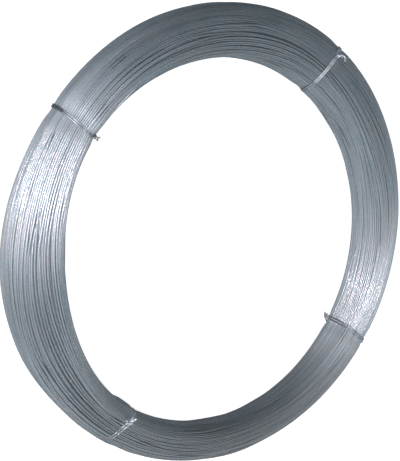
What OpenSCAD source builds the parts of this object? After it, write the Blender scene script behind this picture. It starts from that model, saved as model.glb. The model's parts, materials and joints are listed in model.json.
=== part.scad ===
// Coil of galvanised wire: one turned ring of packed turns, held by four twisted wire ties.
// The ring stands on its rim: its axis lies along Y, its front end faces -Y and Z points up.
// The origin is the centre of the bore. All lengths are in millimetres.

/* [Coil] */
// Bore through the coil, over the innermost turns
bore_d = 462; // [300:1:800]
// Depth of the winding from the bore to the rim
build = 58; // [40:1:120]
// Width of the winding from end to end
width = 58; // [40:1:120]
// Radius of the four rounded edges of the winding
edge_r = 22; // [10:0.5:28]
// Diameter of the wound wire
wire_d = 2.5; // [2:0.1:5]
// Spacing of the outer turns as a share of the wire diameter
lay = 0.95; // [0.85:0.01:0.97]

/* [Ties] */
// Place of each tie in the bore, in degrees round the ring from the right hand side
tie_angles = [142.5, 56.5, -36, -126]; // [-180:0.5:180]
// Slant of each tie along the ring, from the bore to the rim
slants = [-2, -14, -2, -20]; // [-20:0.5:20]
// Skew of each tie along the ring, from the middle of the winding to its front
skews = [4, 15, -2, -8]; // [-20:0.5:20]
// Diameter of the tie wire
tie_d = 2.2; // [1.4:0.1:3.4]
// Depth that a tie bites into the innermost turns
tie_bite = 1.4; // [1:0.05:2]
// Space between the two wraps of each tie
wrap_gaps = [0.2, 0.5, 1.4, 1.6]; // [0.1:0.05:3]
// Space between a tie and the turns below it
seat_gap = 0.15; // [0.12:0.01:0.4]
// Space at each side of a tie in its seat
side_gap = 0.5; // [0.4:0.05:1]

/* [Knots] */
// Place of each knot round the winding, in degrees: 0 on the rim, 90 in front, 180 in the bore
knot_angles = [130, 80, 230, 100]; // [0:10:350]
// Length of each twisted end
knot_lengths = [4, 14, 7, 9]; // [4:0.5:24]
// Turns in each twisted end
knot_turns = [0.5, 1.25, 0.5, 0.75]; // [0.5:0.25:3]
// Space between the two strands of a twisted end
twist_gap = 0.2; // [0.1:0.01:0.5]
// Lean of each twisted end along the ring
lean_along = [0.1, -1, 1, 0.3]; // [-1:0.1:1]
// Lean of each twisted end across the winding, away from the rim
lean_across = [-0.2, 0, 0, 1]; // [-1:0.1:1]
// Rise of each twisted end away from the winding
lean_out = [1, -0.1, 0, 0]; // [-0.4:0.1:1]
// Share of a twisted end that rises from the winding before it leans
knot_knee = 0.4; // [0.3:0.01:0.49]
// Length of the two cut tails of each knot
tails = [1, 3, 2.5, 3]; // [1:0.5:8]
// Distance that the two cut tails spread apart
tail_spread = 1.2; // [0.2:0.1:4]

/* [Hidden] */

zinc = [0.56, 0.60, 0.64];
bright_zinc = [0.70, 0.73, 0.76];

// The winding
bore_r = bore_d / 2;
wire_r = wire_d / 2;
half_build = build / 2;
half_width = width / 2;
mid_r = bore_r + half_build;
edge = min(edge_r, half_build - wire_d, half_width - wire_d);
ring_fn = 120;
turn_sides = 8;

// The line through the centres of the outer turns
lay_build = half_build - wire_r;
lay_width = half_width - wire_r;
lay_edge = edge - wire_r;
run_build = 2 * (lay_build - lay_edge);
run_width = 2 * (lay_width - lay_edge);
run_edge = PI / 2 * lay_edge;
run_all = 2 * run_build + 2 * run_width + 4 * run_edge;
turns = ceil(run_all / (lay * wire_d));

// The ties
tie_r = tie_d / 2;
wraps_apart = [for (gap = wrap_gaps) tie_d + gap];
tie_lean = [for (skew = skews) skew / half_width];
tie_slope = [for (slant = slants) slant / build];
tie_span = [for (lean = tie_lean) tie_d * sqrt(1 + lean * lean)];
seat_w = [
    for (k = [0 : len(tie_angles) - 1])
    2 * wraps_apart[k] + tie_span[k] + 2 * side_gap + 2 * tie_bite * abs(tie_slope[k])
];
wrap_step = 10;
wrap_r = (edge + tie_r + seat_gap) / cos(wrap_step / 2);
wrap_seat = bore_r + tie_bite - tie_r - seat_gap - mid_r;
twist_r = tie_r + twist_gap;
knot_rise = tie_d + twist_gap;
lift_angle = 4;
lift_along = 0.85;
lift_up = 0.4;
turn_steps = 8;
tie_sides = 8;

function unit(v) = v / norm(v);
function quarter(q) = [[1, 1], [-1, 1], [-1, -1], [1, -1]][q % 4];

// Point on the line of the turns, s along it from the middle of the rim towards the front
function lay_point(s) = s < run_width / 2 ? [lay_build, s] : lay_corner(s - run_width / 2, 0);
function lay_corner(s, q) =
    q > 3 ? [lay_build, s - run_width / 2]
    : s < run_edge ? lay_arc(s / run_edge * 90, q)
    : s - run_edge < run_side(q) ? lay_flat(s - run_edge, q)
    : lay_corner(s - run_edge - run_side(q), q + 1);
function run_side(q) = q % 2 == 0 ? run_build : run_width;
function lay_arc(a, q) = [
    quarter(q)[0] * (lay_build - lay_edge) + lay_edge * cos(a + 90 * q),
    quarter(q)[1] * (lay_width - lay_edge) + lay_edge * sin(a + 90 * q)
];
function lay_flat(s, q) = lay_arc(90, q) + s * [cos(90 * q + 180), sin(90 * q + 180)];

// Point on a wrap of a tie as [along the ring, out from the middle of the winding, towards the front]
function wrap_point(k, a, q, along, up) =
    let (
        out = max(quarter(q)[0] * (half_build - edge) + wrap_r * cos(a), wrap_seat),
        front = quarter(q)[1] * (half_width - edge) + wrap_r * sin(a)
    )
    [
        along + tie_slope[k] * (out + half_build) + tie_lean[k] * front,
        out + up * cos(a),
        front + up * sin(a)
    ];
function wraps(k) = [
    for (i = [1 : 720 / wrap_step - 1])
    let (
        a = knot_angles[k] + i * wrap_step,
        q = floor(a / 90),
        along = wraps_apart[k] * (i * wrap_step / 360 - 1)
    )
    each a % 90 == 0
        ? [wrap_point(k, a, q + 3, along, 0), wrap_point(k, a, q, along, 0)]
        : [wrap_point(k, a, q, along, 0)]
];

// Line through the middle of a twisted end, t from 0 at the winding to 1 at the cut
function knot_foot(k) = wrap_point(k, knot_angles[k], floor(knot_angles[k] / 90), 0, knot_rise);
function knot_out(k) = [0, cos(knot_angles[k]), sin(knot_angles[k])];
function knot_across(k) = [0, -sin(knot_angles[k]), cos(knot_angles[k])];
function knot_lean(k) = unit(
    lean_along[k] * [1, 0, 0] + lean_across[k] * knot_across(k) + lean_out[k] * knot_out(k)
);
function knot_bend(k) = knot_foot(k) + knot_out(k) * knot_knee * knot_lengths[k];
function knot_end(k) = knot_bend(k) + knot_lean(k) * (1 - knot_knee) * knot_lengths[k];
function knot_line(k, t) =
    (1 - t) * (1 - t) * knot_foot(k) + 2 * t * (1 - t) * knot_bend(k) + t * t * knot_end(k);
function knot_course(k, t) =
    unit((1 - t) * (knot_bend(k) - knot_foot(k)) + t * (knot_end(k) - knot_bend(k)));
function knot_side(k) =
    let (side = cross(knot_out(k), knot_lean(k)))
    norm(side) > 0.1 ? unit(side) : [1, 0, 0];
function knot_radial(k, t, a) =
    let (
        side = knot_side(k),
        other = cross(knot_course(k, t), side)
    )
    cos(a) * side + sin(a) * other;

// Place on that line for a share of its length
function knot_place(share) =
    (sqrt(knot_knee * knot_knee + (1 - 2 * knot_knee) * share) - knot_knee) / (1 - 2 * knot_knee);

// One strand of a twisted end: hand is -1 for the first end of the tie and 1 for the last
function strand(k, hand) =
    let (
        lift = knot_angles[k] - hand * lift_angle,
        steps = ceil(knot_turns[k] * turn_steps),
        side = knot_side(k),
        other = cross(knot_course(k, 0), side),
        first = atan2(hand * other[0], hand * side[0]),
        last = first - 360 * knot_turns[k]
    )
    concat(
        [wrap_point(k, lift, floor(lift / 90), hand * lift_along * wraps_apart[k], lift_up * knot_rise)],
        [
            for (i = [0 : steps])
            let (t = knot_place(i / steps))
            knot_line(k, t) + twist_r * knot_radial(k, t, first + (last - first) * i / steps)
        ],
        [
            for (i = [0.5, 1])
            knot_line(k, 1) + tails[k] * i * knot_course(k, 1)
                + (twist_r + tail_spread * i) * knot_radial(k, 1, last)
        ]
    );

// Smooth line through the given points
function smooth(p) = concat(
    [
        for (i = [0 : len(p) - 2], j = [0, 0.5])
        let (
            a = p[max(i - 1, 0)],
            b = p[i],
            c = p[i + 1],
            d = p[min(i + 2, len(p) - 1)]
        )
        0.5 * (2 * b + (c - a) * j + (2 * a - 5 * b + 4 * c - d) * j * j + (3 * b - a - 3 * c + d) * j * j * j)
    ],
    [p[len(p) - 1]]
);
function turned_round(p) = [for (i = [len(p) - 1 : -1 : 0]) p[i]];

// The whole course of a tie from its first cut end to its last
function tie_course(k) =
    let (
        loop = wraps(k),
        first = smooth(concat([loop[1], loop[0]], strand(k, -1))),
        last = smooth(concat([loop[len(loop) - 2], loop[len(loop) - 1]], strand(k, 1)))
    )
    concat(
        turned_round(first),
        [for (i = [2 : len(loop) - 3]) loop[i]],
        last
    );

// The same point in the ring, at its own distance from the axis
function in_ring(p) = [sqrt(pow(mid_r + p[1], 2) - pow(p[0], 2)), p[0], p[2]];

// Round wire along a line of points
module wire(p, r) {
    n = len(p);
    course = [for (i = [0 : n - 1]) unit(p[min(i + 1, n - 1)] - p[max(i - 1, 0)])];
    start = unit(cross(course[0], abs(course[0][0]) < 0.7 ? [1, 0, 0] : [0, 1, 0]));
    sides = [
        for (i = 0, s = start; i < n; i = i + 1, s = i < n ? unit(s - (s * course[i]) * course[i]) : s) s
    ];
    points = [
        for (i = [0 : n - 1], j = [0 : tie_sides - 1])
        let (a = 360 * j / tie_sides)
        p[i] + r * (cos(a) * sides[i] + sin(a) * cross(course[i], sides[i]))
    ];
    walls = [
        for (i = [0 : n - 2], j = [0 : tie_sides - 1], half = [0, 1])
        let (
            m = (j + 1) % tie_sides,
            low = i * tie_sides,
            high = low + tie_sides
        )
        half == 0 ? [low + j, high + j, high + m] : [low + j, high + m, low + m]
    ];
    cut_ends = [
        for (j = [1 : tie_sides - 2], half = [0, 1])
        let (high = (n - 1) * tie_sides)
        half == 0 ? [0, j, j + 1] : [high, high + j + 1, high + j]
    ];
    polyhedron(points, concat(walls, cut_ends), convexity = 8);
}

// Rectangle with rounded corners about its own middle
module rounded(x, y, r) {
    square([2 * (x - r), 2 * y], center = true);
    square([2 * x, 2 * (y - r)], center = true);
    for (q = [0 : 3])
    translate([quarter(q)[0] * (x - r), quarter(q)[1] * (y - r)])
    circle(r = r, $fn = ring_fn);
}

// One outer turn cut across, with a flat side towards the bore, the rim and both ends
module turn_section() {
    rotate(180 / turn_sides)
    circle(r = wire_r / cos(180 / turn_sides), $fn = turn_sides);
}

// The winding cut across: a packed core with the outer turns round it
module winding_section() {
    translate([mid_r, 0])
    union() {
        rounded(lay_build, lay_width, lay_edge);
        for (i = [0 : turns - 1])
        translate(lay_point(i * run_all / turns))
        turn_section();
    }
}

// Seat that a tie cuts across the bore, on the slant of its wraps
module seat(k) {
    skew = tie_lean[k] * width;
    side = seat_w[k] / 2;
    intersection() {
        cylinder(r = bore_r + tie_bite, h = 2 * width, center = true, $fn = ring_fn);
        rotate([90, 0, 90])
        linear_extrude(bore_d)
        polygon([[-skew - side, -width], [-skew + side, -width], [skew + side, width], [skew - side, width]]);
    }
}

module wire_coil() {
    color(zinc)
    rotate([90, 0, 0])
    difference() {
        rotate_extrude($fn = ring_fn)
        winding_section();
        for (k = [0 : len(tie_angles) - 1])
        rotate([0, 0, tie_angles[k]])
        seat(k);
    }
}

// One tie: two wraps round the winding and a twisted end
module tie(k) {
    color(bright_zinc)
    rotate([90, 0, 0])
    rotate([0, 0, tie_angles[k]])
    wire([for (p = tie_course(k)) in_ring(p)], tie_r);
}

module tie_upper_left() {
    tie(0);
}

module tie_upper_right() {
    tie(1);
}

module tie_lower_right() {
    tie(2);
}

module tie_lower_left() {
    tie(3);
}

wire_coil();
tie_upper_left();
tie_upper_right();
tie_lower_right();
tie_lower_left();
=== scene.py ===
import json
import math

import bmesh
import bpy
import numpy as np
from mathutils import Matrix, Vector


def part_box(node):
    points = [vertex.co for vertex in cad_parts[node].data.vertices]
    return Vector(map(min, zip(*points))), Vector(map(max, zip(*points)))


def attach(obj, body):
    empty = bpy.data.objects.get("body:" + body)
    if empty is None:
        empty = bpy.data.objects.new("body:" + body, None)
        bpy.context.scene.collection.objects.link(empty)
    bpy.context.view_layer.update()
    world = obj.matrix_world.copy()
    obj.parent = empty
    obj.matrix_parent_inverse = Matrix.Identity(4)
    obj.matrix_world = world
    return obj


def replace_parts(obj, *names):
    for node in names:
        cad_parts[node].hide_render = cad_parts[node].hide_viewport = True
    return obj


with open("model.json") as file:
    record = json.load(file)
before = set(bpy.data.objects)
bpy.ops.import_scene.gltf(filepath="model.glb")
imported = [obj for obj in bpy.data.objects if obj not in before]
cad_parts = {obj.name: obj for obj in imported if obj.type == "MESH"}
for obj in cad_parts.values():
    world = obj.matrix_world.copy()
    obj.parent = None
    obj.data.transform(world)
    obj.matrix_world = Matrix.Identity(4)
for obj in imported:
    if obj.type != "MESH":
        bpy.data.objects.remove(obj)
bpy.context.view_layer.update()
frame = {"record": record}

MM = 0.001
RANDOM = np.random.default_rng(11)

# The winding, in millimetres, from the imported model
coil_low, coil_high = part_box("wire_coil")
bore_mount = next(m for m in frame["record"]["mounts"] if m["name"] == "bore")
BORE_R = bore_mount["dims"]["r_mm"]
RIM_R = (coil_high.x - coil_low.x) / 2 / MM
MEAN_R = (BORE_R + RIM_R) / 2
EDGE_SHARE = 0.76          # edge rounding as a share of half the winding
SAG = 5.0                  # how low the slack winding hangs on its rim
WIRE_R = 1.35
TIE_R = 1.1

# Place of each tie in the bore, by angle round the ring from the right hand side
TIE_ANGLE = {
    "tie_upper_left": 142.5,
    "tie_upper_right": 56.5,
    "tie_lower_right": 324.0,
    "tie_lower_left": 234.0,
}

# Slant of each tie along the ring from the bore to the rim, and its skew from the middle
# to the front
TIE_SLANT = {
    "tie_upper_left": (-2.0, 4.0),
    "tie_upper_right": (-14.0, 15.0),
    "tie_lower_right": (-2.0, -2.0),
    "tie_lower_left": (-20.0, -8.0),
}

# Thickness of the winding by angle round the ring, near each tie and midway between the ties
THICKNESS = [
    (11.0, 61.0),          # right
    (60.0, 68.0),
    (102.0, 62.0),         # top
    (144.0, 53.5),
    (185.5, 66.0),         # left
    (227.0, 50.0),
    (274.5, 47.5),         # bottom
    (322.0, 53.5),
]
TIE_NOTCH = 1.4            # how far a tie draws the turns in
TIE_NOTCH_REACH = 8.0
TIE_HOLD = 60.0            # how far along the ring a tie keeps the turns from wandering
TIE_GRIP = 0.75            # share of their wandering that it takes from them
BULGE = 3.0                # how far some turns bulge into the bore, by the lower left tie
BULGE_ANGLE, BULGE_REACH = 229.5, 5.0
BULGE_FULL = 20.0          # how far inside the mean radius the bulge is full


# Shape of the winding

def round_the_ring(places, angle):
    """Smooth closed curve through (angle, value) places, in degrees."""
    at = np.array([p[0] for p in places])
    value = np.array([p[1] for p in places])
    count = len(at)
    at = np.concatenate((at - 360, at, at + 360))
    value = np.tile(value, 3)
    slope = np.gradient(value, at)
    angle = np.asarray(angle) % 360
    i = np.clip(np.searchsorted(at, angle, side="right") - 1, count - 2, 2 * count + 1)
    step = at[i + 1] - at[i]
    t = (angle - at[i]) / step
    return (
        (2 * t**3 - 3 * t**2 + 1) * value[i]
        + (t**3 - 2 * t**2 + t) * step * slope[i]
        + (3 * t**2 - 2 * t**3) * value[i + 1]
        + (t**3 - t**2) * step * slope[i + 1]
    )


def turn_between(a, b):
    """Degrees from b to a, the short way."""
    return (a - b + 180) % 360 - 180


def tie_distance(angle):
    """Length along the ring to the nearest tie."""
    gaps = [np.abs(turn_between(angle, a)) for a in TIE_ANGLE.values()]
    return np.radians(np.min(gaps, axis=0)) * MEAN_R


def half_build(angle):
    """Half the thickness of the winding, with the notch at each tie."""
    notch = TIE_NOTCH * np.exp(-((tie_distance(angle) / TIE_NOTCH_REACH) ** 2))
    return round_the_ring(THICKNESS, angle) / 2 - notch


def lay(share, half, depth):
    """Point of the winding's cross section: share runs once round it from the middle of the
    rim, over the front, the bore and the back; depth goes in from its skin. Gives the offsets
    outwards and to the front."""
    edge = EDGE_SHARE * half
    flat = half - edge
    side = 2 * flat + math.pi / 2 * edge
    run = (share * 4 * side + flat) % (4 * side)
    quarter = np.floor(run / side)
    run = run - quarter * side
    bend = np.maximum(run - 2 * flat, 0) / edge
    out = np.where(bend > 0, flat + edge * np.cos(bend), half) - depth * np.cos(bend)
    along = np.where(bend > 0, flat + edge * np.sin(bend), run - flat) - depth * np.sin(bend)
    turn = quarter * math.pi / 2
    return out * np.cos(turn) - along * np.sin(turn), out * np.sin(turn) + along * np.cos(turn)


def lay_length(half, depth):
    """Length of the line round the cross section at a depth."""
    edge = EDGE_SHARE * half
    return 8 * (half - edge) + 2 * math.pi * (edge - depth)


def in_ring(out, front, angle):
    """Offsets outwards and to the front, at an angle round the ring, as a point in metres."""
    reach = MEAN_R + out
    turn = np.radians(angle)
    return np.stack((reach * np.cos(turn), -front, reach * np.sin(turn) - SAG), axis=-1) * MM


# How the turns lie

DRIFT_WAVES = [
    # waves round the ring, waves round the cross section, size in turns
    (1, 1, 1.1),
    (2, 2, 0.9),
    (3, 1, 0.6),
    (4, 3, 0.45),
    (6, 2, 0.25),
]
DRIFT_PHASE = RANDOM.uniform(0, 2 * math.pi, len(DRIFT_WAVES))


def drift(share, angle):
    """Sideways drift that neighbouring turns share, in turns."""
    turn = np.radians(angle)
    return sum(
        size * np.sin(round_ring * turn + 2 * math.pi * round_section * share + phase)
        for (round_ring, round_section, size), phase in zip(DRIFT_WAVES, DRIFT_PHASE)
    )


def bump(angle, middle, reach):
    """Smooth rise to 1 at the middle, back to 0 at the reach, in degrees."""
    t = np.clip(turn_between(angle, middle) / reach, -1, 1)
    return 0.5 + 0.5 * np.cos(math.pi * t)


def bulge(out, angle):
    """Offsets outwards, with the turns that bulge into the bore."""
    inside = np.clip(-out / BULGE_FULL, 0, 1)
    return out - BULGE * bump(angle, BULGE_ANGLE, BULGE_REACH) * inside


def stray(lanes, angle, waves, size):
    """A wander of its own for each turn."""
    total = np.zeros((lanes, len(angle)))
    for wave in waves:
        phase = RANDOM.uniform(0, 2 * math.pi, (lanes, 1))
        strength = RANDOM.normal(0, size / math.sqrt(len(waves)), (lanes, 1))
        total += strength * np.sin(wave * np.radians(angle) + phase)
    return total


def turn_tubes(name, lanes, sides, steps, radius):
    """Rings of wire side by side in a row; returns the mesh and the lane, step and clock angle
    of each vertex, from which the rings are laid into the winding."""
    bm = bmesh.new()
    lane_layer = bm.verts.layers.int.new("lane")
    first = MEAN_R * MM
    gap = 4 * radius * MM
    for lane in range(lanes):
        place = Matrix.Translation((first + gap * lane, 0, 0))
        ring = bmesh.ops.create_circle(
            bm, cap_ends=False, segments=sides, radius=radius * MM, matrix=place
        )
        for v in ring["verts"]:
            v[lane_layer] = lane
    bmesh.ops.spin(
        bm, geom=bm.verts[:] + bm.edges[:], cent=(0, 0, 0), axis=(0, -1, 0),
        angle=2 * math.pi, steps=steps, use_merge=True,
    )
    bmesh.ops.recalc_face_normals(bm, faces=bm.faces[:])
    mesh = bpy.data.meshes.new(name)
    bm.to_mesh(mesh)
    bm.free()
    at = get_places(mesh)
    lane = np.empty(len(at), dtype=np.int32)
    mesh.attributes["lane"].data.foreach_get("value", lane)
    turn = np.arctan2(at[:, 2], at[:, 0])
    step = np.round(turn / (2 * math.pi) * steps).astype(int) % steps
    reach = np.hypot(at[:, 0], at[:, 2]) - (first + gap * lane)
    clock = np.arctan2(-at[:, 1], reach)
    shade_smooth(mesh)
    return mesh, lane, step, clock


def get_places(mesh):
    """Vertices of a mesh, one row each."""
    at = np.empty(len(mesh.vertices) * 3)
    mesh.vertices.foreach_get("co", at)
    return at.reshape(-1, 3)


def set_places(mesh, points):
    """Moves the vertices of a mesh to new points."""
    mesh.vertices.foreach_set("co", np.ascontiguousarray(points, dtype=np.float32).ravel())
    mesh.update()


def set_value(mesh, name, values):
    """Gives each vertex a value that its finish reads."""
    layer = mesh.attributes.new(name, "FLOAT", "POINT")
    layer.data.foreach_set("value", np.ascontiguousarray(values, dtype=np.float32))


def shade_smooth(mesh):
    mesh.polygons.foreach_set("use_smooth", np.ones(len(mesh.polygons), dtype=bool))


def lay_turns(name, share, depth, tone, sides):
    """Lays one ring of wire for each row of share and depth into the winding."""
    mesh, lane, step, clock = turn_tubes(name, len(share), sides, STEPS, WIRE_R)
    out, front = lay(share, HALF[None, :], depth + WIRE_R)
    out = bulge(out, ANGLE)
    out = out[lane, step] + WIRE_R * np.cos(clock)
    front = front[lane, step] + WIRE_R * np.sin(clock)
    set_places(mesh, in_ring(out, front, ANGLE[step]))
    set_value(mesh, "tone", tone[lane, step])
    # the depth also sets the painted shade between the turns
    set_value(mesh, "depth", depth[lane, step])
    mesh.materials.append(ZINC)
    return add_piece(name, mesh)


def add_piece(name, mesh):
    """Puts a mesh into the scene as a piece of the coil."""
    piece = bpy.data.objects.new(name, mesh)
    bpy.context.scene.collection.objects.link(piece)
    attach(piece, "root")
    return piece


# Finishes

# Streaks in a metre of winding, and the scale and detail of each pattern
ACROSS, ALONG = "Streaks per metre across", "Streaks per metre along"
STREAKS = {ACROSS: 260.0, ALONG: 7.0}
STREAK_NOISE = 1.0, 3.0
PATCH_NOISE = 26.0, 4.0
GRAIN_NOISE = 1400.0, 2.0

# Where each pattern sets in and is full, and what it then does to the zinc; the depth is in
# millimetres and the height in metres
TONE_SHARE = 0.6           # how much the tone of a turn counts
STREAK_SPAN, STREAK_TONE = (0.3, 0.7), (-0.15, 0.55)
PATCH_SPAN, PATCH_SHARE = (0.45, 0.7), (0.0, 0.45)
PATCH_ROUGH_SPAN, PATCH_ROUGH = (0.4, 0.7), (0.0, 0.06)
SHINE_SPAN = 0.52, 0.64
# Painted shade down between the turns: the deeper a turn lies under the skin, the darker its zinc
DEEP_SPAN, DEEP_SHARE, DEEP_SHADE = (0.6, 3.4), (0.0, 0.45), (0.10, 0.11, 0.12)
# Painted shade low on the ring, towards the floor, by height in metres
LOW_SPAN, LOW_SHADE = (-0.1, -0.25), (0.153, 0.168, 0.174)
EDGE_TINT = 0.15, 0.16, 0.17
DRAWN_TURN = 0.25          # quarter turn, so that the sheen stretches across the wire
RELIEF_STRENGTH, RELIEF_HEIGHT = 0.15, 0.0002


def new_material(name):
    """Material with a bare shader; returns it with its nodes, links and shader."""
    material = bpy.data.materials.new(name)
    material.use_nodes = True
    nodes = material.node_tree.nodes
    nodes.clear()
    output = nodes.new("ShaderNodeOutputMaterial")
    shader = nodes.new("ShaderNodeBsdfPrincipled")
    material.node_tree.links.new(shader.outputs["BSDF"], output.inputs["Surface"])
    return material, nodes, material.node_tree.links, shader


def math_node(nodes, links, operation, a, b=None):
    """Result of a sum on one or two numbers or sockets."""
    node = nodes.new("ShaderNodeMath")
    node.operation = operation
    for socket, value in zip(node.inputs, (a, b)):
        if value is None:
            continue
        if isinstance(value, (int, float)):
            socket.default_value = value
        else:
            links.new(value, socket)
    return node.outputs[0]


def noise(nodes, links, vector, scale, detail):
    node = nodes.new("ShaderNodeTexNoise")
    node.inputs["Scale"].default_value = scale
    node.inputs["Detail"].default_value = detail
    links.new(vector, node.inputs["Vector"])
    return node.outputs["Fac"]


def object_place(nodes, links):
    """Place on the coil, whole and split into X, Y and Z."""
    place = nodes.new("ShaderNodeTexCoord")
    split = nodes.new("ShaderNodeSeparateXYZ")
    links.new(place.outputs["Object"], split.inputs[0])
    return place.outputs["Object"], split.outputs


def streak_group():
    """Streaks that follow the turns round the ring, dull patches, fine grain, and the height."""
    group = bpy.data.node_groups.new("Streaks along the turns", "ShaderNodeTree")
    for way, names in (
        ("INPUT", (ACROSS, ALONG)),
        ("OUTPUT", ("Streak", "Patch", "Grain", "Height")),
    ):
        for name in names:
            group.interface.new_socket(name, in_out=way, socket_type="NodeSocketFloat")
    nodes, links = group.nodes, group.links
    entry = nodes.new("NodeGroupInput")
    leave = nodes.new("NodeGroupOutput")
    place, split = object_place(nodes, links)

    def product(a, b):
        return math_node(nodes, links, "MULTIPLY", a, b)

    turn = math_node(nodes, links, "ARCTAN2", split["Z"], split["X"])
    square = math_node(
        nodes, links, "ADD", product(split["X"], split["X"]), product(split["Z"], split["Z"])
    )
    reach = math_node(nodes, links, "SQRT", square)
    length = product(turn, MEAN_R * MM)
    join = nodes.new("ShaderNodeCombineXYZ")
    links.new(product(reach, entry.outputs[ACROSS]), join.inputs["X"])
    links.new(product(split["Y"], entry.outputs[ACROSS]), join.inputs["Y"])
    links.new(product(length, entry.outputs[ALONG]), join.inputs["Z"])
    links.new(noise(nodes, links, join.outputs[0], *STREAK_NOISE), leave.inputs["Streak"])
    links.new(noise(nodes, links, place, *PATCH_NOISE), leave.inputs["Patch"])
    links.new(noise(nodes, links, place, *GRAIN_NOISE), leave.inputs["Grain"])
    links.new(split["Z"], leave.inputs["Height"])
    return group


def mix_colours(nodes, links, share, a, b):
    """Mix of two colours, each a tuple or a socket, by a share."""
    node = nodes.new("ShaderNodeMix")
    node.data_type = "RGBA"
    for socket, value in ((node.inputs[0], share), (node.inputs[6], a), (node.inputs[7], b)):
        if isinstance(value, tuple):
            socket.default_value = (*value, 1.0)
        else:
            links.new(value, socket)
    return node.outputs[2]


def read_attribute(nodes, name):
    node = nodes.new("ShaderNodeAttribute")
    node.attribute_name = name
    return node.outputs["Fac"]


def ramp(nodes, links, value, low, high, to_low=0.0, to_high=1.0):
    """Straight rise of a value from to_low at low to to_high at high."""
    node = nodes.new("ShaderNodeMapRange")
    links.new(value, node.inputs["Value"])
    node.inputs["From Min"].default_value = low
    node.inputs["From Max"].default_value = high
    node.inputs["To Min"].default_value = to_low
    node.inputs["To Max"].default_value = to_high
    return node.outputs[0]


def zinc_finish(name, streaks, dark, light, dull, bright, rough, drawn, low_shade):
    """Galvanised wire: zinc that varies from turn to turn, with streaks along the turns, dull
    patches and a shiny grain, and painted shade down between the turns and low on the ring.
    Rough gives the roughness of the dull and of the shiny zinc, and drawn how far the sheen
    stretches."""
    material, nodes, links, shader = new_material(name)
    group = nodes.new("ShaderNodeGroup")
    group.node_tree = streaks
    for socket, per_metre in STREAKS.items():
        group.inputs[socket].default_value = per_metre
    pattern = group.outputs

    tone = math_node(
        nodes, links, "ADD",
        math_node(nodes, links, "MULTIPLY", read_attribute(nodes, "tone"), TONE_SHARE),
        ramp(nodes, links, pattern["Streak"], *STREAK_SPAN, *STREAK_TONE),
    )
    zinc = mix_colours(nodes, links, tone, dark, light)
    patch = ramp(nodes, links, pattern["Patch"], *PATCH_SPAN, *PATCH_SHARE)
    zinc = mix_colours(nodes, links, patch, zinc, dull)
    shine = ramp(nodes, links, pattern["Grain"], *SHINE_SPAN)
    zinc = mix_colours(nodes, links, shine, zinc, bright)
    # painted shade down between the turns, by their depth
    deep = ramp(nodes, links, read_attribute(nodes, "depth"), *DEEP_SPAN, *DEEP_SHARE)
    zinc = mix_colours(nodes, links, deep, zinc, DEEP_SHADE)
    # painted shade low on the ring
    low = ramp(nodes, links, pattern["Height"], *LOW_SPAN, 0.0, low_shade)
    zinc = mix_colours(nodes, links, low, zinc, LOW_SHADE)
    links.new(zinc, shader.inputs["Base Color"])
    shader.inputs["Metallic"].default_value = 1.0
    shader.inputs["Specular Tint"].default_value = (*EDGE_TINT, 1)

    patchy = math_node(
        nodes, links, "ADD",
        ramp(nodes, links, shine, 0.0, 1.0, *rough),
        ramp(nodes, links, pattern["Patch"], *PATCH_ROUGH_SPAN, *PATCH_ROUGH),
    )
    links.new(patchy, shader.inputs["Roughness"])
    _, split = object_place(nodes, links)
    along = nodes.new("ShaderNodeCombineXYZ")
    links.new(math_node(nodes, links, "MULTIPLY", split["Z"], -1.0), along.inputs["X"])
    links.new(split["X"], along.inputs["Z"])
    links.new(along.outputs[0], shader.inputs["Tangent"])
    shader.inputs["Anisotropic"].default_value = drawn
    shader.inputs["Anisotropic Rotation"].default_value = DRAWN_TURN

    relief = nodes.new("ShaderNodeBump")
    relief.inputs["Strength"].default_value = RELIEF_STRENGTH
    relief.inputs["Distance"].default_value = RELIEF_HEIGHT
    links.new(pattern["Grain"], relief.inputs["Height"])
    links.new(relief.outputs["Normal"], shader.inputs["Normal"])
    return material


streaks = streak_group()
ZINC = zinc_finish(
    "Dull zinc on wound wire", streaks,
    dark=(0.145, 0.215, 0.25),
    light=(0.285, 0.375, 0.42),
    dull=(0.24, 0.285, 0.305),
    bright=(0.42, 0.38, 0.395),
    rough=(0.64, 0.34),
    drawn=0.6,
    low_shade=0.5,
)
TIE_ZINC = zinc_finish(
    "Zinc on tie wire", streaks,
    dark=(0.11, 0.145, 0.165),
    light=(0.62, 0.74, 0.82),
    dull=(0.30, 0.35, 0.38),
    bright=(0.42, 0.46, 0.48),
    rough=(0.66, 0.5),
    drawn=0.0,
    low_shade=0.0,
)


# The turns

LANES = 78                 # turns side by side round the cross section
STEPS = 156
ANGLE = 360 * np.arange(STEPS) / STEPS
SLACK = 1 - TIE_GRIP * np.exp(-((tie_distance(ANGLE) / TIE_HOLD) ** 2))
HALF = half_build(ANGLE)

# Wandering of the single turns: its waves round the ring, and its size in turns sideways, in
# millimetres of depth, or in tone
OUTER_SIDEWAYS = (2, 3, 4, 5, 7, 9), 0.24
OUTER_DEPTH = (2, 3, 5, 7, 8, 11), 0.18
OUTER_TONE = (1, 2, 3, 5), 0.15
UNDER_SIDEWAYS = (2, 3, 5, 7), 0.25
UNDER_DEPTH = (2, 3, 5, 8), 0.35
UNDER_TONE = (1, 2, 4), 0.15
OUTER_TONES = 0.15, 0.85   # darkest and lightest turn
UNDER_TONES = 0.2, 0.7

# Places where a turn dips, and where two neighbours cross and cross back, in degrees
MOST_DIPS = 2
DIP_REACH = 8, 26
DIP_DEPTH = 0.2, 0.6
CROSSED_FOR = 30, 150
CROSSING_WIDTH = 7, 14
CROSSING_RISE = 0.9        # how far one turn rises and the other sinks, in millimetres
NEST = 0.9                 # depth of the under turns, as a share of nesting tightly
LEAST_NEST = 1.0           # in millimetres, where the outer turns lie apart

OUTER_SIDES, UNDER_SIDES = 8, 6
CORE_SIDES, CORE_STEPS = 64, 120
CORE_DEPTH, CORE_TONE = 4.4, 0.3
CORE_TUBE_R = 10.0         # of the ring that is then laid into the winding


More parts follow.
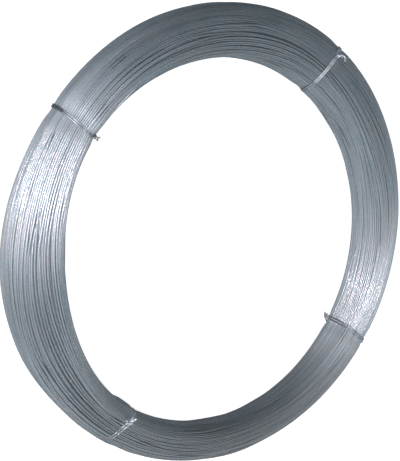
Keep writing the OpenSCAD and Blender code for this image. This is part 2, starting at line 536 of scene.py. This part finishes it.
def outer_turns():
    """The turns on the skin of the winding, some of them dipping or crossing."""
    base = (np.arange(LANES) / LANES)[:, None]
    sideways = drift(base, ANGLE) + SLACK * stray(LANES, ANGLE, *OUTER_SIDEWAYS)
    depth = SLACK * np.abs(stray(LANES, ANGLE, *OUTER_DEPTH))
    for lane in range(LANES):
        for _ in range(RANDOM.integers(0, MOST_DIPS + 1)):
            middle, reach = RANDOM.uniform(0, 360), RANDOM.uniform(*DIP_REACH)
            depth[lane] += SLACK * RANDOM.uniform(*DIP_DEPTH) * bump(ANGLE, middle, reach)
    for lane in range(0, LANES - 1, 2):
        begin = RANDOM.uniform(0, 360)
        length = RANDOM.uniform(*CROSSED_FOR)
        width = RANDOM.uniform(*CROSSING_WIDTH)
        since = (ANGLE - begin) % 360
        rise = np.clip(since / width, 0, 1)
        fall = np.clip((since - length) / width, 0, 1)
        swap = rise**2 * (3 - 2 * rise) - fall**2 * (3 - 2 * fall)
        there = bump(ANGLE, begin + width / 2, width)
        back = bump(ANGLE, begin + length + width / 2, width)
        sideways[lane] += swap
        sideways[lane + 1] -= swap
        depth[lane] -= CROSSING_RISE * (there + back)
        depth[lane + 1] += CROSSING_RISE * (there + back)
    tone = RANDOM.uniform(*OUTER_TONES, (LANES, 1)) + stray(LANES, ANGLE, *OUTER_TONE)
    return lay_turns("outer_turns", base + sideways / LANES, depth, tone, OUTER_SIDES)


def under_turns():
    """The turns that show between the outer ones."""
    base = ((np.arange(LANES) + 0.5) / LANES)[:, None]
    sideways = drift(base, ANGLE) + SLACK * stray(LANES, ANGLE, *UNDER_SIDEWAYS)
    pitch = lay_length(HALF, WIRE_R) / LANES
    nest = np.sqrt(np.maximum((2 * WIRE_R) ** 2 - (pitch / 2) ** 2, LEAST_NEST**2))
    depth = NEST * nest[None, :] + SLACK * np.abs(stray(LANES, ANGLE, *UNDER_DEPTH))
    tone = RANDOM.uniform(*UNDER_TONES, (LANES, 1)) + stray(LANES, ANGLE, *UNDER_TONE)
    return lay_turns("under_turns", base + sideways / LANES, depth, tone, UNDER_SIDES)


def packed_core():
    """The turns further in, as one ring made dark by painted shade for its depth."""
    mesh, _, step, clock = turn_tubes("packed_core", 1, CORE_SIDES, CORE_STEPS, CORE_TUBE_R)
    angle = (360 * np.arange(CORE_STEPS) / CORE_STEPS)[step]
    out, front = lay(clock / (2 * math.pi), half_build(angle), CORE_DEPTH)
    set_places(mesh, in_ring(bulge(out, angle), front, angle))
    set_value(mesh, "tone", np.full(len(step), CORE_TONE))
    set_value(mesh, "depth", np.full(len(step), CORE_DEPTH))
    mesh.materials.append(ZINC)
    return add_piece("packed_core", mesh)


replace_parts(outer_turns(), "wire_coil")
under_turns()
packed_core()


# The ties

# Tone of each tie, with a painted highlight near the front: its dull stretches, its brightest
# place round the winding, how bright it is there, and the reach of that
TIE_TONE_AND_HIGHLIGHT = {
    "tie_upper_left": (-0.3, 85, 0.55, 60),
    "tie_upper_right": (0.1, 80, 0.55, 80),
    "tie_lower_right": (-0.5, 95, -0.2, 40),
    "tie_lower_left": (-0.3, 118, 0.7, 45),
}

# Space between the wraps; knots: place round the cross section (0 rim, 90 front, 180 bore,
# 270 back), length and turns of the twisted end, its lean along the ring, across the winding
# and outwards, and the length of its cut ends
KNOTS = {
    "tie_upper_left": (0.2, 130, 4.0, 0.5, (0.1, -0.2, 1.0), 1.0),
    "tie_upper_right": (0.5, 80, 14.0, 1.25, (-1.0, 0.0, -0.1), 3.0),
    "tie_lower_right": (1.4, 230, 7.0, 0.5, (1.0, 0.0, 0.0), 2.5),
    "tie_lower_left": (1.6, 100, 9.0, 0.75, (0.3, 1.0, 0.0), 3.0),
}
WRAPS = 2
WRAP_STEP = 6              # degrees between the points of a wrap
BEFORE_FLAT = 0.001        # degrees short of a flat face, for the point at its near end
STRAND_GAP = 0.2           # from the middle of a twist to each strand, and under its foot
TWIST_R = TIE_R + STRAND_GAP
TWIST_POINTS = 10          # for each turn of a twist
KNEE = 0.4                 # share of a twisted end that rises before it leans
STRAIGHT = 0.1             # an end that leans less than this stands straight out
LIFT_TURN = 4              # degrees from the knot where a wrap leaves the winding
LIFT_APART, LIFT_RISE = 0.85, 0.4
CUT_POINTS = 0.5, 1.0      # shares of a cut end
CUT_SPREAD = 1.2
SMOOTH_PARTS = 3
TIE_ROUNDING = 3
QUARTERS = (1, 1), (-1, 1), (-1, -1), (1, -1)


def unit(v):
    return v / np.linalg.norm(v)


def smooth_line(points, parts):
    """Smooth line through the points."""
    p = np.vstack((points[:1], points, points[-1:]))
    t = (np.arange(parts) / parts)[:, None]
    line = [
        0.5 * (
            2 * b
            + (c - a) * t
            + (2 * a - 5 * b + 4 * c - d) * t**2
            + (3 * b - a - 3 * c + d) * t**3
        )
        for a, b, c, d in zip(p, p[1:], p[2:], p[3:])
    ]
    return np.vstack((*line, points[-1:]))


def tie_course(name):
    """Course of a tie wire: cut end, twist, two wraps, twist, cut end, as [along, out, front]."""
    gap, knot, length, turns, lean, cut_end = KNOTS[name]
    slant, skew = TIE_SLANT[name]
    apart = 2 * TIE_R + gap
    half = half_build(TIE_ANGLE[name])
    edge = EDGE_SHARE * half
    flat = half - edge

    def wrap_point(clock, along, up=0.0):
        corner = flat * np.array(QUARTERS[int(clock // 90) % 4])
        away = np.array((math.cos(math.radians(clock)), math.sin(math.radians(clock))))
        out, front = corner + (edge + TIE_R) * away
        along += slant * (out / half + 1) / 2 + skew * front / half
        return np.array((along, out + up * away[0], front + up * away[1]))

    wraps = []
    for i in range(1, WRAPS * 360 // WRAP_STEP):
        clock = knot + i * WRAP_STEP
        along = apart * (i * WRAP_STEP / 360 - WRAPS / 2)
        if clock % 90 == 0:
            wraps.append(wrap_point(clock - BEFORE_FLAT, along))
        wraps.append(wrap_point(clock, along))

    rise = 2 * TIE_R + STRAND_GAP
    foot = wrap_point(knot, 0.0, rise)
    outward = np.array((0.0, math.cos(math.radians(knot)), math.sin(math.radians(knot))))
    across = np.array((0.0, -outward[2], outward[1]))
    lean = unit(lean[0] * np.array((1.0, 0.0, 0.0)) + lean[1] * across + lean[2] * outward)
    bend = foot + outward * KNEE * length
    end = bend + lean * (1 - KNEE) * length
    side = np.cross(outward, lean)
    side = unit(side) if np.linalg.norm(side) > STRAIGHT else np.array((1.0, 0.0, 0.0))

    def strand(hand):
        first = math.atan2(hand * np.cross(outward, side)[0], hand * side[0])
        lift = knot - hand * LIFT_TURN
        points = [wrap_point(lift, hand * LIFT_APART * apart, LIFT_RISE * rise)]
        steps = math.ceil(turns * TWIST_POINTS)
        for i in range(steps + 1):
            share = i / steps
            t = (math.sqrt(KNEE**2 + (1 - 2 * KNEE) * share) - KNEE) / (1 - 2 * KNEE)
            course = unit((1 - t) * (bend - foot) + t * (end - bend))
            turned = first - 2 * math.pi * turns * share
            radial = math.cos(turned) * side + math.sin(turned) * np.cross(course, side)
            middle = (1 - t) ** 2 * foot + 2 * t * (1 - t) * bend + t**2 * end
            points.append(middle + TWIST_R * radial)
        for i in CUT_POINTS:
            points.append(middle + cut_end * i * course + (TWIST_R + CUT_SPREAD * i) * radial)
        return points

    first = smooth_line(np.array([wraps[1], wraps[0], *strand(-1)]), SMOOTH_PARTS)
    last = smooth_line(np.array([wraps[-2], wraps[-1], *strand(1)]), SMOOTH_PARTS)
    return np.vstack((first[::-1], wraps[2:-2], last))


def tie_wire(name):
    """A tie wire, drawn along its course and toned by its place round the winding, which paints a
    highlight on it near the front.
    """
    course = tie_course(name)
    turn = np.degrees(np.arcsin(course[:, 0] / (MEAN_R + course[:, 1])))
    points = in_ring(course[:, 1], course[:, 2], TIE_ANGLE[name] + turn)
    curve = bpy.data.curves.new(name, "CURVE")
    curve.dimensions = "3D"
    curve.bevel_depth = TIE_R * MM
    curve.bevel_resolution = TIE_ROUNDING
    curve.use_fill_caps = True
    spline = curve.splines.new("POLY")
    spline.points.add(len(points) - 1)
    spline.points.foreach_set("co", np.hstack((points, np.ones((len(points), 1)))).ravel())
    drawn = bpy.data.objects.new(name, curve)
    mesh = bpy.data.meshes.new_from_object(drawn)
    bpy.data.objects.remove(drawn)
    mesh.materials.clear()
    mesh.materials.append(TIE_ZINC)
    shade_smooth(mesh)
    across, front, up = get_places(mesh).T / MM
    clock = np.degrees(np.arctan2(-front, np.hypot(across, up + SAG) - MEAN_R))
    dull, middle, bright, reach = TIE_TONE_AND_HIGHLIGHT[name]
    # the tie's own dull tone, rising to a painted highlight near the front of the winding
    set_value(mesh, "tone", dull + (bright - dull) * bump(clock, middle, reach))
    set_value(mesh, "depth", np.zeros(len(mesh.vertices)))
    piece = add_piece("bright_" + name, mesh)
    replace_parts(piece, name)


for name in TIE_ANGLE:
    tie_wire(name)


# Floor, backdrop, light and camera

VIEW_TURN, VIEW_RISE = math.radians(-35.6), math.radians(12.3)
VIEW_FAR = 4.0 * MEAN_R * MM
VIEW_FROM = Vector((
    math.sin(VIEW_TURN) * math.cos(VIEW_RISE),
    -math.cos(VIEW_TURN) * math.cos(VIEW_RISE),
    math.sin(VIEW_RISE),
)) * VIEW_FAR + Vector((0, 0, -SAG * MM))
VIEW_AIM = Vector((-40.7, 0, 19.5 - SAG)) * MM
VIEW_FOCAL = 824.5         # focal length in pixels of the 400 x 461 photo
VIEW_LONG_SIDE = 461
SENSOR = 36.0
CLIP_END = 100

# The paper, in metres: half its side, its back edge, and the cove and wall behind that
FLOOR = -RIM_R * MM
PAPER_HALF = 6.0
PAPER_BACK = 3.0
COVE_R, COVE_STEPS = 1.0, 12
WALL_RISE = 4.0
PAPER_GREY = 0.7
PAPER_ROUGH = 0.9

# How white the paper looks, by its distance behind the coil
NEAR_GLOW, MIDDLE_GLOW, FAR_GLOW = 0.5, 0.87, 0.99
NEAR, MIDDLE, FAR = -1.2, 0.3, 2.0

# The key stands behind the camera, as a multiple of its distance, and a little higher
KEY_FAR, KEY_LIFT = 1.7, 0.1
KEY_WATTS, KEY_SIZE, KEY_SPREAD = 5.7, 0.4, math.radians(45)
KEY_COLOUR = 1.0, 0.86, 0.86
CEILING_PLACE = 0, 0, 3.0
CEILING_STRENGTH, CEILING_WIDTH = 0.2, math.radians(90)
ROOM_COLOUR, ROOM_STRENGTH = (0.74, 0.9, 1.0), 0.1


def studio():
    """White paper under and behind the coil, square to the view."""
    bm = bmesh.new()
    paper = bmesh.ops.create_grid(bm, x_segments=1, y_segments=1, size=PAPER_HALF)
    bmesh.ops.translate(bm, verts=paper["verts"], vec=(0, PAPER_BACK - PAPER_HALF, FLOOR))
    back = [e for e in bm.edges if all(v.co.y > 0 for v in e.verts)]
    cove = bmesh.ops.spin(
        bm, geom=back + list(back[0].verts), cent=(0, PAPER_BACK, FLOOR + COVE_R),
        axis=(1, 0, 0), angle=math.pi / 2, steps=COVE_STEPS,
    )
    top = [g for g in cove["geom_last"] if isinstance(g, bmesh.types.BMEdge)]
    wall = bmesh.ops.extrude_edge_only(bm, edges=top)
    raised = [g for g in wall["geom"] if isinstance(g, bmesh.types.BMVert)]
    bmesh.ops.translate(bm, verts=raised, vec=(0, 0, WALL_RISE))
    turned = Matrix.Rotation(VIEW_TURN, 3, "Z")
    bmesh.ops.rotate(bm, verts=bm.verts[:], cent=(0, 0, 0), matrix=turned)
    bmesh.ops.recalc_face_normals(bm, faces=bm.faces[:])
    mesh = bpy.data.meshes.new("studio_paper")
    bm.to_mesh(mesh)
    bm.free()
    shade_smooth(mesh)
    mesh.materials.append(paper_finish())
    floor = bpy.data.objects.new("studio_paper", mesh)
    bpy.context.scene.collection.objects.link(floor)


def paper_finish():
    """Paper that keeps the coil's shadow, and looks whiter to the view and in the metal the
    further back it is."""
    material, nodes, links, shader = new_material("White studio paper")
    shader.inputs["Base Color"].default_value = (PAPER_GREY, PAPER_GREY, PAPER_GREY, 1)
    shader.inputs["Roughness"].default_value = PAPER_ROUGH
    shader.inputs["Specular IOR Level"].default_value = 0.0
    rays = nodes.new("ShaderNodeLightPath").outputs
    mirrored = math_node(
        nodes, links, "MAXIMUM", rays["Is Glossy Ray"], rays["Is Transmission Ray"]
    )
    seen = math_node(nodes, links, "MAXIMUM", rays["Is Camera Ray"], mirrored)
    place = nodes.new("ShaderNodeTexCoord")
    reach = nodes.new("ShaderNodeVectorMath")
    reach.operation = "DOT_PRODUCT"
    reach.inputs[1].default_value = (-math.sin(VIEW_TURN), math.cos(VIEW_TURN), 0.0)
    links.new(place.outputs["Object"], reach.inputs[0])
    behind = reach.outputs["Value"]
    white = math_node(
        nodes, links, "ADD",
        ramp(nodes, links, behind, NEAR, MIDDLE, NEAR_GLOW, MIDDLE_GLOW),
        ramp(nodes, links, behind, MIDDLE, FAR, 0.0, FAR_GLOW - MIDDLE_GLOW),
    )
    glow = math_node(nodes, links, "MULTIPLY", seen, white)
    shader.inputs["Emission Color"].default_value = (1, 1, 1, 1)
    links.new(glow, shader.inputs["Emission Strength"])
    return material


def lamp(name, kind, place, energy, size, colour):
    """Lamp that shines at the middle of the coil."""
    data = bpy.data.lights.new(name, kind)
    data.energy = energy
    data.color = colour
    if kind == "AREA":
        data.size = size
        data.spread = KEY_SPREAD
    else:
        data.angle = size
    light = bpy.data.objects.new(name, data)
    light.location = place
    light.rotation_euler = (-Vector(place)).to_track_quat("-Z", "Y").to_euler()
    bpy.context.scene.collection.objects.link(light)


def room():
    """Soft light from all round."""
    world = bpy.data.worlds.new("Soft room")
    world.use_nodes = True
    background = world.node_tree.nodes["Background"]
    background.inputs["Color"].default_value = (*ROOM_COLOUR, 1)
    background.inputs["Strength"].default_value = ROOM_STRENGTH
    bpy.context.scene.world = world


def camera():
    """Camera at the photo's viewing angle."""
    data = bpy.data.cameras.new("photo_view")
    data.sensor_width = SENSOR
    data.lens = VIEW_FOCAL / VIEW_LONG_SIDE * SENSOR
    data.clip_end = CLIP_END
    view = bpy.data.objects.new("photo_view", data)
    view.location = VIEW_FROM
    view.rotation_euler = (VIEW_AIM - VIEW_FROM).to_track_quat("-Z", "Y").to_euler()
    bpy.context.scene.collection.objects.link(view)
    bpy.context.scene.camera = view


studio()
key_place = VIEW_FROM * KEY_FAR + Vector((0, 0, KEY_LIFT))
lamp("key_by_the_camera", "AREA", key_place, KEY_WATTS, KEY_SIZE, KEY_COLOUR)
lamp("soft_ceiling", "SUN", CEILING_PLACE, CEILING_STRENGTH, CEILING_WIDTH, ROOM_COLOUR)
room()
bpy.context.scene.view_settings.view_transform = "Standard"
camera()
